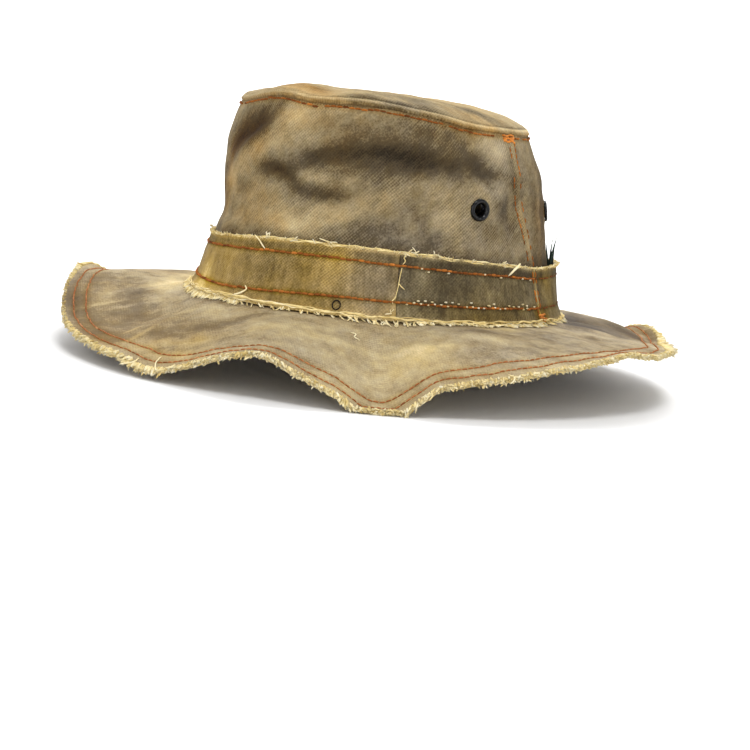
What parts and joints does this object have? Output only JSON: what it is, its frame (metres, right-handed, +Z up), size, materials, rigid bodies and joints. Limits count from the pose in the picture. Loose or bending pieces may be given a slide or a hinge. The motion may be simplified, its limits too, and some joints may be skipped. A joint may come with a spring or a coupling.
{
  "type": "floppy hat",
  "caption": "Worn canvas bush hat with a domed crown, a raw-edged band, vent eyelets, a tucked feather and a wide wavy brim that rests on a surface.",
  "frame": {"origin": "on the surface that the hat rests on, under the middle of the brim's outline", "axes": "+Z up, -Y towards the front of the hat, +X towards the wearer's left"},
  "size_m": [0.3078, 0.34, 0.1473],
  "materials": {
    "crown_canvas": "heavy worn canvas, olive brown with pale rubbed folds",
    "brim_canvas": "heavy worn canvas, tan with grey-brown stains and a cream frayed edge",
    "band_canvas": "waxed canvas, yellow olive, raw edges",
    "patch_canvas": "waxed canvas, grey brown, raw edges",
    "eyelet_metal": "black enamelled metal, worn satin",
    "feather_vane": "dark green-black feather, slight sheen"
  },
  "bodies": {
    "root": {"crown_tip": "crown_canvas", "crown_side": "crown_canvas", "crown_back": "crown_canvas", "brim": "brim_canvas", "band_front": "band_canvas", "band_side": "patch_canvas", "band_back": "patch_canvas", "eyelet_left_side": "eyelet_metal", "eyelet_left_back": "eyelet_metal", "eyelet_right_side": "eyelet_metal", "eyelet_right_back": "eyelet_metal", "feather": "feather_vane"}
  },
  "joints": []
}
